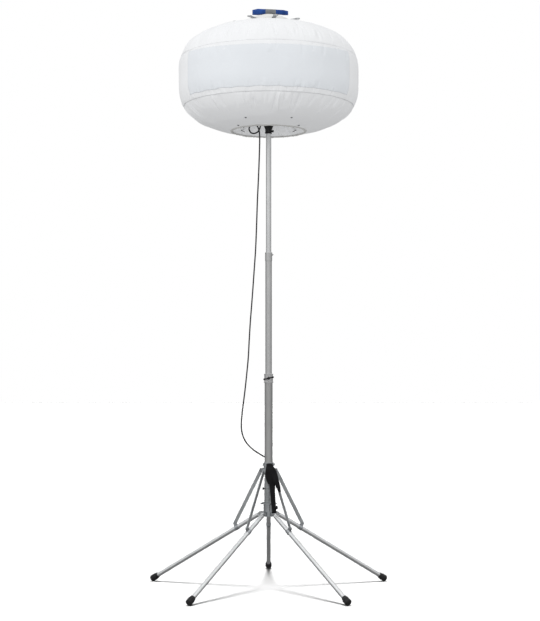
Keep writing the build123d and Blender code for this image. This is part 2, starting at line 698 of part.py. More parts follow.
gland_length, gland_r, gland_nut_r, gland_nut_height = 18.0, 9.0, 13.0, 9.0
with BuildPart() as cable_gland:
    first, second = Vector(*cable_upper_route[0]), Vector(*cable_upper_route[1])
    back = (first - second).normalized()
    with BuildSketch(Plane(origin=first, z_dir=back)):
        Circle(cable_r + 1.5)
    with BuildSketch(Plane(origin=first + back * gland_length, z_dir=back)):
        Circle(gland_r)
    loft()
    with BuildSketch(Plane.XY.offset(head_bottom - gland_nut_height)):
        with Locations(tuple(first + back * gland_length)[:2]):
            RegularPolygon(gland_nut_r, 6)
    extrude(amount=gland_nut_height)
save(cable_gland, "cable_gland")

plug_x, plug_y, plug_top = cable_lower_route[-1]
plug_r, plug_face_r, plug_length = 16.0, 13.0, 74.0
turned_piece(
    "cable_plug",
    [
        (0, plug_top), (8, plug_top), (11, plug_top - 12), (plug_r, plug_top - 22),
        (plug_r, plug_top - 62), (plug_face_r, plug_top - 66), (plug_face_r, plug_top - plug_length),
        (0, plug_top - plug_length),
    ],
    centre=(plug_x, plug_y),
)
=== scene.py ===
import json
import random
from math import atan2, cos, hypot, pi, radians, sin

import bpy
import numpy as np
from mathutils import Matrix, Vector


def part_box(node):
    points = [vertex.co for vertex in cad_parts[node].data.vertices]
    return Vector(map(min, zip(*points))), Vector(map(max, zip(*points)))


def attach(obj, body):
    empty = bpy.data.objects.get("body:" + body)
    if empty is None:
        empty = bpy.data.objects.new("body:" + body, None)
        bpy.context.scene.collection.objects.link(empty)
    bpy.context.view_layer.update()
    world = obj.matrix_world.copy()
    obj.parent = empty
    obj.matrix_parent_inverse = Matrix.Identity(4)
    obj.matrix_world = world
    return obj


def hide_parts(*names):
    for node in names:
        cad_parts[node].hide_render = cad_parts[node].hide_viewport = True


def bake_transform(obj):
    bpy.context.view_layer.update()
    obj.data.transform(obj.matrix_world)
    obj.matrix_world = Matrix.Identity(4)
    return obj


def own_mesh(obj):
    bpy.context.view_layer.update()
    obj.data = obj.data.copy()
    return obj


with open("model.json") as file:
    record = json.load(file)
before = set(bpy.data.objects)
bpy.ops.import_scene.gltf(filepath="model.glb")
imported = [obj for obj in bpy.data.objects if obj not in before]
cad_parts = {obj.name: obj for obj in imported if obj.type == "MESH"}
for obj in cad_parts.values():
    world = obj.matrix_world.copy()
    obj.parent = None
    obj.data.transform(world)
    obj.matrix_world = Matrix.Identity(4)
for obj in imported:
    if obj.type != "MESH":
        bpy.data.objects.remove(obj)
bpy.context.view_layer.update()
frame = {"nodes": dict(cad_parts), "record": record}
nodes = frame["nodes"]


# ================================================================ camera, floor and light
# The camera stands upright at eye height; the shifts put the horizon and the mast where they belong
CAMERA_PLACE = (0, -9.78, 1.642)
SENSOR, LENS = 36.0, 79.23478
SHIFT_RIGHT, SHIFT_UP = 0.0022544, 0.0763285
# Each sky is a base strength and how much it grows along x, y and z of the direction
SKY_SOFT = (0.82, (0.03, -0.08, 0.16))
SKY_REFLECTED = (0.36, (-0.03, -0.22, 0.85))
SKY_LEAST = 0.17
FLOOR_HALF, FLOOR_TONE, FLOOR_ROUGHNESS = 40.0, 0.12, 0.9
SUN_STRENGTH, SUN_WIDTH = 27.0, 0.3
KEY_PLACE, KEY_TARGET, KEY_SIZE, KEY_POWER = (-4.0, -5.0, 6.4), (0, 0, 3.6), (1.6, 1.6), 62
WHITE = (1, 1, 1, 1)


def add_object(name, data):
    """A new object in the scene."""
    item = bpy.data.objects.new(name, data)
    bpy.context.collection.objects.link(item)
    return item


def make_camera():
    data = bpy.data.cameras.new("camera")
    data.sensor_width = SENSOR
    data.lens = LENS
    data.shift_x = SHIFT_RIGHT
    data.shift_y = SHIFT_UP
    camera = add_object("camera", data)
    camera.location = CAMERA_PLACE
    camera.rotation_euler = (pi / 2, 0, 0)
    bpy.context.scene.camera = camera


def area_light(name, place, target, size, power):
    data = bpy.data.lights.new(name, "AREA")
    data.shape = "RECTANGLE"
    data.size, data.size_y = size
    data.energy = power
    light = add_object(name, data)
    light.location = place
    towards = Vector(target) - Vector(place)
    light.rotation_euler = towards.to_track_quat("-Z", "Y").to_euler()
    light.visible_camera = False


def sky(tree, parts, base, slopes):
    """A background whose strength is the base plus a slope along each axis of the direction."""
    level = None
    for axis, slope in zip("XYZ", slopes):
        term = tree.nodes.new("ShaderNodeMath")
        term.operation = "MULTIPLY_ADD"
        tree.links.new(parts.outputs[axis], term.inputs[0])
        term.inputs[1].default_value = slope
        term.inputs[2].default_value = base
        if level:
            tree.links.new(level, term.inputs[2])
        level = term.outputs[0]
    least = tree.nodes.new("ShaderNodeMath")
    least.operation = "MAXIMUM"
    tree.links.new(level, least.inputs[0])
    least.inputs[1].default_value = SKY_LEAST
    made = tree.nodes.new("ShaderNodeBackground")
    made.inputs["Color"].default_value = WHITE
    tree.links.new(least.outputs[0], made.inputs["Strength"])
    return made.outputs["Background"]


def make_world():
    """White behind the object, a soft sky that lights it, and one with more contrast for metal."""
    world = bpy.data.worlds.new("studio")
    world.use_nodes = True
    tree = world.node_tree
    direction = tree.nodes.new("ShaderNodeTexCoord")
    parts = tree.nodes.new("ShaderNodeSeparateXYZ")
    tree.links.new(direction.outputs["Generated"], parts.inputs["Vector"])
    seen = tree.nodes.new("ShaderNodeLightPath")
    white = tree.nodes["Background"]
    white.inputs["Color"].default_value = WHITE
    white.inputs["Strength"].default_value = 1.0
    shown = sky(tree, parts, *SKY_SOFT)
    for flag, other in (("Is Glossy Ray", sky(tree, parts, *SKY_REFLECTED)),
                        ("Is Camera Ray", white.outputs["Background"])):
        mix = tree.nodes.new("ShaderNodeMixShader")
        tree.links.new(seen.outputs[flag], mix.inputs["Fac"])
        tree.links.new(shown, mix.inputs[1])
        tree.links.new(other, mix.inputs[2])
        shown = mix.outputs["Shader"]
    tree.links.new(shown, tree.nodes["World Output"].inputs["Surface"])
    bpy.context.scene.world = world
    bpy.context.scene.view_settings.view_transform = "Standard"


def make_floor():
    """White paper that takes shadows but neither lights the object nor is mirrored in it."""
    mesh = bpy.data.meshes.new("floor")
    half = FLOOR_HALF
    corners = [(-half, -half, 0), (half, -half, 0), (half, half, 0), (-half, half, 0)]
    mesh.from_pydata(corners, [], [(0, 1, 2, 3)])
    floor = add_object("floor", mesh)
    paper = bpy.data.materials.new("floor_paper")
    paper.use_nodes = True
    shader = paper.node_tree.nodes["Principled BSDF"]
    shader.inputs["Base Color"].default_value = (FLOOR_TONE, FLOOR_TONE, FLOOR_TONE, 1)
    shader.inputs["Roughness"].default_value = FLOOR_ROUGHNESS
    shader.inputs["Specular IOR Level"].default_value = 0.0
    mesh.materials.append(paper)
    floor.visible_diffuse = False
    floor.visible_glossy = False
    return floor


def collection_of(name, items):
    made = bpy.data.collections.new(name)
    for item in items:
        made.objects.link(item)
    return made


def floor_sun(floor, blockers):
    """A wide lamp straight above that lights only the floor, so soft shadows lie under the legs."""
    data = bpy.data.lights.new("floor_sun", "SUN")
    data.energy = SUN_STRENGTH
    data.angle = SUN_WIDTH
    sun = add_object("floor_sun", data)
    sun.light_linking.receiver_collection = collection_of("floor_only", [floor])
    sun.light_linking.blocker_collection = collection_of("stand_shadows", blockers)


make_camera()
make_world()
stand = [nodes[name] for name in nodes if name.startswith(("leg_", "foot_"))]
floor_sun(make_floor(), stand)
area_light("key", KEY_PLACE, KEY_TARGET, KEY_SIZE, KEY_POWER)


# ================================================================ mesh helpers
CURVE_STEPS, CURVE_SIDES = 10, 5


def shade_smooth(mesh):
    mesh.polygons.foreach_set("use_smooth", [True] * len(mesh.polygons))


def new_mesh_object(name, points, faces):
    """A smooth-shaded mesh object from points and faces."""
    mesh = bpy.data.meshes.new(name)
    mesh.from_pydata([tuple(point) for point in points], [], faces)
    mesh.validate()
    item = add_object(name, mesh)
    shade_smooth(mesh)
    return item


def quads(rings, sides, around=True, closed=False):
    """Faces between rings of points that follow each other in one list.

    around closes each ring on itself, and closed joins the last ring to the first.
    """
    faces = []
    for ring in range(rings if closed else rings - 1):
        here, ahead = ring * sides, (ring + 1) % rings * sides
        for side in range(sides if around else sides - 1):
            beside = (side + 1) % sides
            faces.append((here + side, here + beside, ahead + beside, ahead + side))
    return faces


def end_caps(rings, sides):
    """The two faces that close the first and the last ring of quads."""
    return [tuple(range(sides))[::-1], tuple(range((rings - 1) * sides, rings * sides))]


def grid(name, points, uv, around=False):
    """A sheet from a (rows, columns, 3) array of points; around closes each row on itself."""
    item = new_mesh_object(name, points.reshape(-1, 3), quads(*points.shape[:2], around))
    layer = item.data.uv_layers.new(name="cloth")
    corners = np.empty(len(item.data.loops), dtype=np.int64)
    item.data.loops.foreach_get("vertex_index", corners)
    layer.data.foreach_set("uv", uv.reshape(-1, 2)[corners].astype(np.float32).ravel())
    return item


def evaluated_mesh(item):
    """A new mesh of an object with its modifiers and its bevel applied."""
    bpy.context.view_layer.update()
    depsgraph = bpy.context.evaluated_depsgraph_get()
    return bpy.data.meshes.new_from_object(item.evaluated_get(depsgraph), depsgraph=depsgraph)


def thicken(item, thickness):
    """Gives a sheet its thickness, on the inner side."""
    modifier = item.modifiers.new("thickness", "SOLIDIFY")
    modifier.thickness = thickness
    modifier.offset = -1.0
    final = evaluated_mesh(item)
    item.modifiers.clear()
    item.data = final


def merged(name, items):
    """One object from several meshes; the originals are removed."""
    points, faces = [], []
    for item in items:
        shift = len(points)
        points += [item.matrix_world @ vertex.co for vertex in item.data.vertices]
        faces += [tuple(index + shift for index in polygon.vertices)
                  for polygon in item.data.polygons]
        bpy.data.objects.remove(item)
    return new_mesh_object(name, points, faces)


def tube_along(name, route, radius):
    """A mesh tube along a route's spline, and the points of that spline."""
    data = bpy.data.curves.new(name + "_line", "CURVE")
    data.dimensions = "3D"
    spline = data.splines.new("NURBS")
    spline.points.add(len(route) - 1)
    for point, place in zip(spline.points, route):
        point.co = (*place, 1)
    spline.order_u = 3
    spline.use_endpoint_u = True
    spline.resolution_u = CURVE_STEPS
    data.bevel_resolution = CURVE_SIDES
    data.use_fill_caps = True
    curve = add_object(name + "_line", data)
    path = [tuple(vertex.co) for vertex in evaluated_mesh(curve).vertices]
    data.bevel_depth = radius
    mesh = evaluated_mesh(curve)
    bpy.data.objects.remove(curve)
    mesh.name = name
    shade_smooth(mesh)
    return add_object(name, mesh), path


# ================================================================ materials
WAVE_BANDS = 2 / 6.28     # the scale that puts the bands of a wave texture a metre apart
DUST = 0.06               # how much lighter full wear makes a moulded part


def new_material(name, colour, roughness, metallic=0.0, specular=0.5):
    item = bpy.data.materials.new(name)
    item.use_nodes = True
    shader = item.node_tree.nodes["Principled BSDF"]
    shader.inputs["Base Color"].default_value = (*colour, 1)
    shader.inputs["Roughness"].default_value = roughness
    shader.inputs["Metallic"].default_value = metallic
    shader.inputs["Specular IOR Level"].default_value = specular
    return item, shader


def node(item, kind, **inputs):
    """A new node of a material; an underscore in an input's name stands for a space."""
    made = item.node_tree.nodes.new(kind)
    for name, value in inputs.items():
        made.inputs[name.replace("_", " ")].default_value = value
    return made


def link(item, source, target):
    item.node_tree.links.new(source, target)


def feed(item, shader, colour=None, roughness=None, normal=None):
    """Links what is given into the shader."""
    for name, source in (("Base Color", colour), ("Roughness", roughness), ("Normal", normal)):
        if source is not None:
            link(item, source, shader.inputs[name])


def object_coordinates(item, stretch=(1, 1, 1)):
    coordinates = node(item, "ShaderNodeTexCoord")
    mapping = node(item, "ShaderNodeMapping", Scale=stretch)
    link(item, coordinates.outputs["Object"], mapping.inputs["Vector"])
    return mapping.outputs["Vector"]


def noise(item, scale, detail, stretch=(1, 1, 1), roughness=0.5):
    texture = node(item, "ShaderNodeTexNoise", Scale=scale, Detail=detail, Roughness=roughness)
    link(item, object_coordinates(item, stretch), texture.inputs["Vector"])
    return texture.outputs["Fac"]


def bands(item, source, direction, pitch, **inputs):
    """Bands across a direction of the source, one pitch apart."""
    wave = node(item, "ShaderNodeTexWave", Scale=WAVE_BANDS / pitch, **inputs)
    wave.bands_direction = direction
    link(item, source, wave.inputs["Vector"])
    return wave.outputs["Fac"]


def combined(item, operation, first, second):
    made = node(item, "ShaderNodeMath")
    made.operation = operation
    link(item, first, made.inputs[0])
    link(item, second, made.inputs[1])
    return made.outputs[0]


def ramp(item, source, places, tones):
    """The first tone up to the first place, passing to the second tone at the second place."""
    made = node(item, "ShaderNodeValToRGB")
    for stop, place, tone in zip(made.color_ramp.elements, places, tones):
        stop.position = place
        stop.color = (*tone, 1)
    link(item, source, made.inputs["Fac"])
    return made.outputs["Color"]


def shades(item, source, places, colour, dark, light=1.0):
    """The colour times dark up to the first place, passing to the colour times light."""
    tones = [[min(1.0, part * factor) for part in colour] for factor in (dark, light)]
    return ramp(item, source, places, tones)


def value_range(item, source, low, high):
    made = node(item, "ShaderNodeMapRange", To_Min=low, To_Max=high)
    link(item, source, made.inputs["Value"])
    return made.outputs["Result"]


def bumped(item, source, strength, distance, below=None):
    """The normal that a source's height makes, on top of another bump's normal if one is given."""
    bump = node(item, "ShaderNodeBump", Strength=strength, Distance=distance)
    link(item, source, bump.inputs["Height"])
    if below is not None:
        link(item, below, bump.inputs["Normal"])
    return bump.outputs["Normal"]


def drawn_aluminium(name, colour, roughness=0.32, stretch=(60, 60, 2), grain=0.12):
    """Drawn tube: fine lines along its length, handling marks and a dull oxide bloom."""
    item, shader = new_material(name, colour, roughness, metallic=0.85)
    lines = noise(item, scale=8.0, detail=4.0, stretch=stretch)
    marks = noise(item, scale=14.0, detail=6.0, stretch=(1, 1, 0.4), roughness=0.7)
    feed(item, shader,
         colour=shades(item, marks, (0.3, 0.75), colour, dark=0.9, light=1.06),
         roughness=value_range(item, marks, roughness - 0.06, roughness + 0.08),
         normal=bumped(item, lines, strength=grain, distance=0.0004))
    return item


def galvanised(name, colour, spangle):
    """Zinc plating: grey spangle of uneven flakes with dull spots."""
    item, shader = new_material(name, colour, roughness=0.48, metallic=0.8)
    flakes = node(item, "ShaderNodeTexVoronoi", Scale=spangle)
    link(item, object_coordinates(item), flakes.inputs["Vector"])
    dull = noise(item, scale=40.0, detail=5.0)
    feed(item, shader,
         colour=shades(item, flakes.outputs["Color"], (0.1, 0.9), colour, dark=0.66, light=1.22),
         roughness=value_range(item, dull, 0.36, 0.66),
         normal=bumped(item, flakes.outputs["Distance"], strength=0.15, distance=0.0004))
    return item


def zinc_plated(name, colour, roughness):
    """Smooth plated bar and castings: a dull even grey with faint stains and a fine grain."""
    item, shader = new_material(name, colour, roughness, metallic=0.8)
    stains = noise(item, scale=22.0, detail=6.0, roughness=0.6)
    grain = noise(item, scale=220.0, detail=3.0)
    feed(item, shader,
         colour=shades(item, stains, (0.3, 0.75), colour, dark=0.82, light=1.1),
         roughness=value_range(item, stains, roughness - 0.1, roughness + 0.12),
         normal=bumped(item, grain, strength=0.08, distance=0.0003))
    return item


def moulded(name, colour, roughness, wear=0.35):
    """Moulded plastic or rubber: fine grain, a little dust and rubbed patches."""
    item, shader = new_material(name, colour, roughness, specular=0.3)
    patches = noise(item, scale=30.0, detail=6.0, roughness=0.65)
    pale = [part + wear * DUST for part in colour]
    grain = noise(item, scale=900.0, detail=2.0)
    feed(item, shader,
         colour=ramp(item, patches, (0.45, 0.85), (colour, pale)),
         roughness=value_range(item, patches, roughness - 0.1, roughness + 0.15),
         normal=bumped(item, grain, strength=0.25, distance=0.0002))
    return item


def webbing(name, colour, pitch=0.0044):
    """Woven strap: ribs along and across, darker and paler with wear."""
    item, shader = new_material(name, colour, roughness=0.85, specular=0.1)
    shader.inputs["Sheen Weight"].default_value = 0.05
    coordinates = object_coordinates(item)
    ribs = bands(item, coordinates, "Z", pitch, Distortion=1.0, Detail=1.0)
    yarns = bands(item, coordinates, "X", pitch, Distortion=0.6, Detail=1.0)
    weave = combined(item, "MULTIPLY", ribs, yarns)
    fade = noise(item, scale=25.0, detail=4.0)
    feed(item, shader,
         colour=shades(item, fade, (0.3, 0.8), colour, dark=0.75, light=1.5),
         normal=bumped(item, weave, strength=0.6, distance=0.0006))
    return item


def balloon_cloth(name, colour, shade, pitch=0.006):
    """Coated ripstop: a fine grid of thicker yarns, soft creases and faint handling marks."""
    item, shader = new_material(name, colour, roughness=0.62, specular=0.25)
    shader.inputs["Sheen Weight"].default_value = 0.08
    cloth = node(item, "ShaderNodeTexCoord").outputs["UV"]
    threads = []
    for direction in ("X", "Y"):
        thin = node(item, "ShaderNodeMapRange", From_Min=0.86, From_Max=1.0)
        link(item, bands(item, cloth, direction, pitch), thin.inputs["Value"])
        threads.append(thin.outputs["Result"])
    ripstop = combined(item, "MAXIMUM", *threads)
    marks = noise(item, scale=2.6, detail=5.0, roughness=0.6)
    creases = noise(item, scale=9.0, detail=5.0, stretch=(1, 1, 0.55), roughness=0.62)
    soft = bumped(item, creases, strength=0.35, distance=0.006)
    feed(item, shader,
         colour=shades(item, marks, (0.35, 0.7), colour, dark=shade),
         normal=bumped(item, ripstop, strength=0.12, distance=0.0002, below=soft))
    return item


def clear_glass(name, colour):
    """Thin clear glass, faintly frosted in places."""
    item, shader = new_material(name, colour, roughness=0.05)
    shader.inputs["Transmission Weight"].default_value = 0.9
    frosting = noise(item, scale=60.0, detail=3.0)
    feed(item, shader, roughness=value_range(item, frosting, 0.03, 0.16))
    return item


def glazed(name, colour):
    """Glazed ceramic with a faint unevenness of tone."""
    item, shader = new_material(name, colour, roughness=0.22)
    tone = noise(item, scale=35.0, detail=4.0)
    feed(item, shader, colour=shades(item, tone, (0.35, 0.7), colour, dark=0.9))
    return item


MATERIALS = {name: make(name, colour, **settings) for name, make, colour, settings in (
    ("mast_aluminium", drawn_aluminium, (0.68, 0.685, 0.685), {}),
    # painted shade: a darker copy of the mast aluminium, for the lower tube
    ("worn_aluminium", drawn_aluminium, (0.53, 0.535, 0.53), {}),
    # painted light: a lighter copy of the mast aluminium, for the light the balloon throws on the
    # upper tube
    ("bright_aluminium", drawn_aluminium, (0.84, 0.85, 0.855), {}),
    ("leg_aluminium", drawn_aluminium, (0.78, 0.79, 0.8),
     {"roughness": 0.22, "stretch": (8, 8, 8), "grain": 0.03}),
    ("galvanised", galvanised, (0.42, 0.44, 0.45), {"spangle": 125.0}),
    ("zinc_bar", zinc_plated, (0.46, 0.48, 0.49), {"roughness": 0.3}),
    ("cast_zinc", zinc_plated, (0.48, 0.5, 0.52), {"roughness": 0.2}),
    ("fastener_steel", galvanised, (0.58, 0.58, 0.58), {"spangle": 300.0}),
    ("guy_hardware", galvanised, (0.5, 0.51, 0.52), {"spangle": 300.0}),
    ("motor_steel", galvanised, (0.4, 0.41, 0.42), {"spangle": 200.0}),
    ("black_plastic", moulded, (0.013, 0.013, 0.014), {"roughness": 0.42}),
    ("foot_rubber", moulded, (0.01, 0.01, 0.011), {"roughness": 0.5, "wear": 0.3}),
    ("grey_nylon", moulded, (0.45, 0.45, 0.45), {"roughness": 0.5}),
    ("cap_white", moulded, (0.8, 0.8, 0.78), {"roughness": 0.45, "wear": 0.1}),
    ("cable_rubber", moulded, (0.014, 0.014, 0.015), {"roughness": 0.5}),
    ("black_webbing", webbing, (0.009, 0.009, 0.01), {}),
    ("blue_webbing", webbing, (0.02, 0.06, 0.23), {}),
    ("grey_webbing", webbing, (0.2, 0.21, 0.22), {}),
    ("balloon_cloth", balloon_cloth, (0.9, 0.91, 0.925), {"shade": 0.97}),
    ("panel_cloth", balloon_cloth, (0.82, 0.85, 0.885), {"shade": 0.965}),
    # painted shade: the hem's cloth is darkened for the shadow line along the rim of the mouth
    ("hem_cloth", balloon_cloth, (0.6, 0.6, 0.585), {"shade": 0.85}),
    ("seam_cloth", balloon_cloth, (0.7, 0.71, 0.72), {"shade": 0.9}),
    ("lamp_glass", clear_glass, (0.96, 0.97, 0.98), {}),
    ("ceramic_white", glazed, (0.85, 0.84, 0.8), {}),
)}

# CAD nodes whose look differs from that of their record's slot
NODE_LOOKS = {
    "strut_collar": "cast_zinc",
    "hub": "cast_zinc",
    # painted shade: the lower tube takes the darker copy of the mast aluminium
    "lower_tube": "worn_aluminium",
    # painted light: the upper tube takes the lighter copy, for the light from the balloon above it
    "upper_tube": "bright_aluminium",
    **{f"strut_{number}": "zinc_bar" for number in range(1, 6)},
    **{f"leg_bracket_{number}": "cast_zinc" for number in range(1, 6)},
}

for row in frame["record"]["subparts"]:
    look = NODE_LOOKS.get(row["node"], row["material_slot"])
    nodes[row["node"]].material_slots[0].material = MATERIALS[look]


def finish_with(item, slot, look=None):
    """Gives a piece its one material: the look if one is given, else the record's slot."""
    item.data.materials.clear()
    item.data.materials.append(MATERIALS[look or slot])


# ================================================================ cable
CABLE_RADIUS = 0.005
upper_route = [
    (-0.058, 0.009, 3.306), (-0.064, 0.009, 3.274), (-0.090, 0.006, 3.249),
    (-0.126, 0.003, 3.249), (-0.144, 0, 3.281), (-0.126, -0.004, 3.313),
    (-0.088, -0.008, 3.313), (-0.068, -0.009, 3.276), (-0.063, -0.009, 3.222),
    (-0.065, -0.009, 3.130), (-0.069, -0.008, 3.010), (-0.074, -0.006, 2.895),
    (-0.080, -0.005, 2.775), (-0.084, -0.004, 2.650), (-0.088, -0.004, 2.530),
    (-0.0905, -0.004, 2.470),
]
middle_route = [
    (-0.0905, -0.004, 2.470), (-0.093, -0.004, 2.410), (-0.101, -0.003, 2.300),
    (-0.110, -0.002, 2.170), (-0.120, -0.002, 2.035), (-0.131, -0.002, 1.900),
    (-0.139, -0.003, 1.765), (-0.145, -0.004, 1.640), (-0.155, -0.005, 1.540),
    (-0.161, -0.0055, 1.482),
]
lower_route = [
    (-0.161, -0.0055, 1.482), (-0.167, -0.006, 1.424), (-0.180, -0.006, 1.320),
    (-0.193, -0.005, 1.215), (-0.197, -0.002, 1.140), (-0.184, 0.004, 1.078),
    (-0.156, 0.010, 1.028), (-0.115, 0.018, 0.987), (-0.070, 0.030, 0.955),
    (-0.028, 0.046, 0.931), (0.005, 0.062, 0.903), (0.023, 0.076, 0.862),
    (0.023, 0.076, 0.815),
]


def cable_piece(name, route):
    """One stretch of the cable: a tube along its route, in place of the CAD piece of that name."""
    cable, path = tube_along(name, route, CABLE_RADIUS)
    finish_with(cable, "cable_rubber")
    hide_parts(name)
    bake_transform(cable)


cable_piece("cable_upper", upper_route)
cable_piece("cable_middle", middle_route)
cable_piece("cable_lower", lower_route)


# ================================================================ balloon
BALLOON_RADIUS = 0.64
CROWN_Z, CROWN_HEIGHT = 3.68, 0.34
BELLY_Z, BELLY_HEIGHT = 3.58, 0.33
BULGE = 2.5                   # 2 is an ellipse; more is squarer
UPPER_SEAM_Z, LOWER_SEAM_Z = 3.775, 3.435
MOUTH_RADIUS, TOP_HOLE_RADIUS, TOP_HOLE_Z = 0.2635, 0.12, 4.036
CONE_FROM, CONE_EASE = 0.34, 3   # inside this radius the crown passes into a cone, at this rate
COLUMNS = 720
CROWN_ROWS, SIDE_ROWS, BELLY_ROWS = 84, 70, 76
END_POINTS, SIDE_POINTS = 240, 160
CLOTH = 0.001

FOLD_SLANT, FOLD_FADE, FOLD_SHORTEST = 0.25, 2.5, 1e-4
SWELL_WAVES, SWELL_TURNS, SWELL_DRIFT = 9, (3, 17), 9
EASE, EASED_LEAST = 0.012, 0.3   # relief grows to its full depth over this distance from a seam
SEAM_WIDTH, SEAM_DEPTH, SEAM_DEPTH_SLIGHT = 0.005, 0.0012, 0.0003
GORES, GORE_RIDGE, GORE_RIDGE_WIDTH = 16, 0.0016, 0.008


def dome(share):
    """Height of a rounded end at a share of its radius, as a share of its full height."""
    return (1 - share**BULGE) ** (1 / BULGE)


def crown_height(radius):
    """Height of the crown at a radius: rounded outside, easing into a low cone at the top."""
    rounded = CROWN_Z + CROWN_HEIGHT * dome(radius / BALLOON_RADIUS)
    edge = CROWN_Z + CROWN_HEIGHT * dome(CONE_FROM / BALLOON_RADIUS)
    share = (CONE_FROM - radius) / (CONE_FROM - TOP_HOLE_RADIUS)
    cone = edge + (TOP_HOLE_Z - edge) * share
    mix = np.clip(share * CONE_EASE, 0, 1)
    return rounded * (1 - mix) + cone * mix


def belly_height(radius):
    return BELLY_Z - BELLY_HEIGHT * dome(radius / BALLOON_RADIUS)


def side_radius(height):
    above = np.maximum(height - CROWN_Z, 0) / CROWN_HEIGHT
    below = np.maximum(BELLY_Z - height, 0) / BELLY_HEIGHT
    return BALLOON_RADIUS * dome(above + below)


MOUTH_Z = belly_height(MOUTH_RADIUS)


def circle(count):
    """Angles of evenly spaced points all the way round."""
    return np.linspace(0, 2 * pi, count, endpoint=False)


def wrapped(angle):
    """The same angle between minus pi and pi."""
    return (angle + pi) % (2 * pi) - pi


def about_mast(radius, azimuths, level):
    """Points at a radius from the mast axis, an azimuth from the front and a level."""
    return np.stack([radius * np.sin(azimuths), -radius * np.cos(azimuths), level], axis=2)


def cloth_uv(azimuths, along, radius):
    """Texture coordinates in metres: round the mast at a radius, and along the meridian."""
    return np.stack(np.broadcast_arrays(azimuths[None, :] * radius, along[:, None]), axis=2)


def spaced(line, rows):
    """The same meridian with evenly spaced points, and the distance along it of each."""
    steps = np.hypot(*np.diff(line, axis=0).T)
    along = np.concatenate([[0], np.cumsum(steps)])
    even = np.linspace(0, along[-1], rows)
    return np.stack([np.interp(even, along, line[:, k]) for k in range(2)], axis=1), even


def folds(rng, azimuths, along, count, starts, ends, widths, depths):
    """Depth of creases that run along the meridian, each with its own place, ends, width and depth.

    A third of them stand out instead of lying in.
    """
    depth = np.zeros((len(along), len(azimuths)))
    for _ in range(count):
        centre = rng.uniform(0, 2 * pi)
        slant = rng.uniform(-FOLD_SLANT, FOLD_SLANT)
        start = rng.uniform(*starts)
        end = rng.uniform(*ends)
        width = rng.uniform(*widths)
        size = rng.uniform(*depths) * rng.choice((-1, 1, 1))
        middle, half = (start + end) / 2, abs(end - start) / 2 + FOLD_SHORTEST
        window = np.clip(1 - np.abs((along - middle) / half) ** FOLD_FADE, 0, 1)
        offset = wrapped(azimuths[None, :] - centre - slant * (along[:, None] - middle))
        depth += size * window[:, None] * np.exp(-((offset / width) ** 2))
    return depth


def swell(rng, azimuths, along, amount):
    """Slow unevenness of inflated cloth: waves round the balloon that drift along the meridian."""
    depth = np.zeros((len(along), len(azimuths)))
    for _ in range(SWELL_WAVES):
        turns, phase = rng.randint(*SWELL_TURNS), rng.uniform(0, 2 * pi)
        drift = rng.uniform(-SWELL_DRIFT, SWELL_DRIFT)
        depth += np.sin(turns * azimuths[None, :] + phase + drift * along[:, None])
    return amount * depth / SWELL_WAVES


def waves(rng, azimuths, count, low, high, size):
    """A ripple round the mast: the mean of waves that turn from low to high times."""
    total = np.zeros(len(azimuths))
    for _ in range(count):
        total += np.sin(rng.randint(low, high) * azimuths + rng.uniform(0, 2 * pi))
    return size * total / count


def eased(distance):
    """Share of its full depth that relief has at a distance from a seam."""
    return np.clip(distance / EASE, EASED_LEAST, 1)[:, None]


def seam_dip(along, place, depth):
    """Stitching pulls the cloth in along a seam."""
    return depth * np.exp(-(((along[:, None] - place) / SEAM_WIDTH) ** 2))


def pushed_in(meridian, depth):
    """Radius and level of each point of the cloth, moved inward from the meridian by its depth."""
    tangent = np.gradient(meridian, axis=0)
    tangent /= np.hypot(*tangent.T)[:, None]
    return meridian[:, :1] - tangent[:, 1:] * depth, meridian[:, 1:] + tangent[:, :1] * depth


def crown_relief(azimuths, along):
    """Gathers above the seam, pulls towards the cap, and the sewn ridges between the gores."""
    rng = random.Random(11)
    end = along[-1]
    relief = swell(rng, azimuths, along, amount=0.004)
    relief += folds(rng, azimuths, along, count=110, starts=(0.0, 0.05), ends=(0.1, 0.34),
                    widths=(0.009, 0.02), depths=(0.0026, 0.0062))
    relief += folds(rng, azimuths, along, count=44, starts=(end - 0.2, end - 0.05),
                    ends=(end, end), widths=(0.02, 0.05), depths=(0.0012, 0.003))
    for gore in range(GORES):
        offset = wrapped(azimuths - gore * 2 * pi / GORES)
        relief -= GORE_RIDGE * np.exp(-((offset / GORE_RIDGE_WIDTH) ** 2))[None, :]
    return relief * eased(along) + seam_dip(along, 0.0, SEAM_DEPTH_SLIGHT)


def side_relief(azimuths, along):
    """Gathers above the lower seam and below the upper one."""
    rng = random.Random(12)
    end = along[-1]
    relief = swell(rng, azimuths, along, amount=0.003)
    relief += folds(rng, azimuths, along, count=95, starts=(0.0, 0.0), ends=(0.03, 0.1),
                    widths=(0.009, 0.018), depths=(0.002, 0.005))
    relief += folds(rng, azimuths, along, count=80, starts=(end - 0.12, end - 0.03),
                    ends=(end, end), widths=(0.01, 0.022), depths=(0.0012, 0.003))
    return relief * eased(np.minimum(along, end - along)) + seam_dip(along, end, SEAM_DEPTH_SLIGHT)


def belly_relief(azimuths, along):
    """Slight pulls round the mouth, and gathers below the seam."""
    rng = random.Random(13)
    end = along[-1]
    relief = swell(rng, azimuths, along, amount=0.0035)
    relief += folds(rng, azimuths, along, count=40, starts=(0.0, 0.02), ends=(0.05, 0.12),
                    widths=(0.02, 0.06), depths=(0.0006, 0.0016))
    relief += folds(rng, azimuths, along, count=120, starts=(end - 0.2, end - 0.06),
                    ends=(end, end), widths=(0.009, 0.018), depths=(0.0024, 0.0064))
    return relief * eased(np.minimum(along, end - along)) + seam_dip(along, end, SEAM_DEPTH)


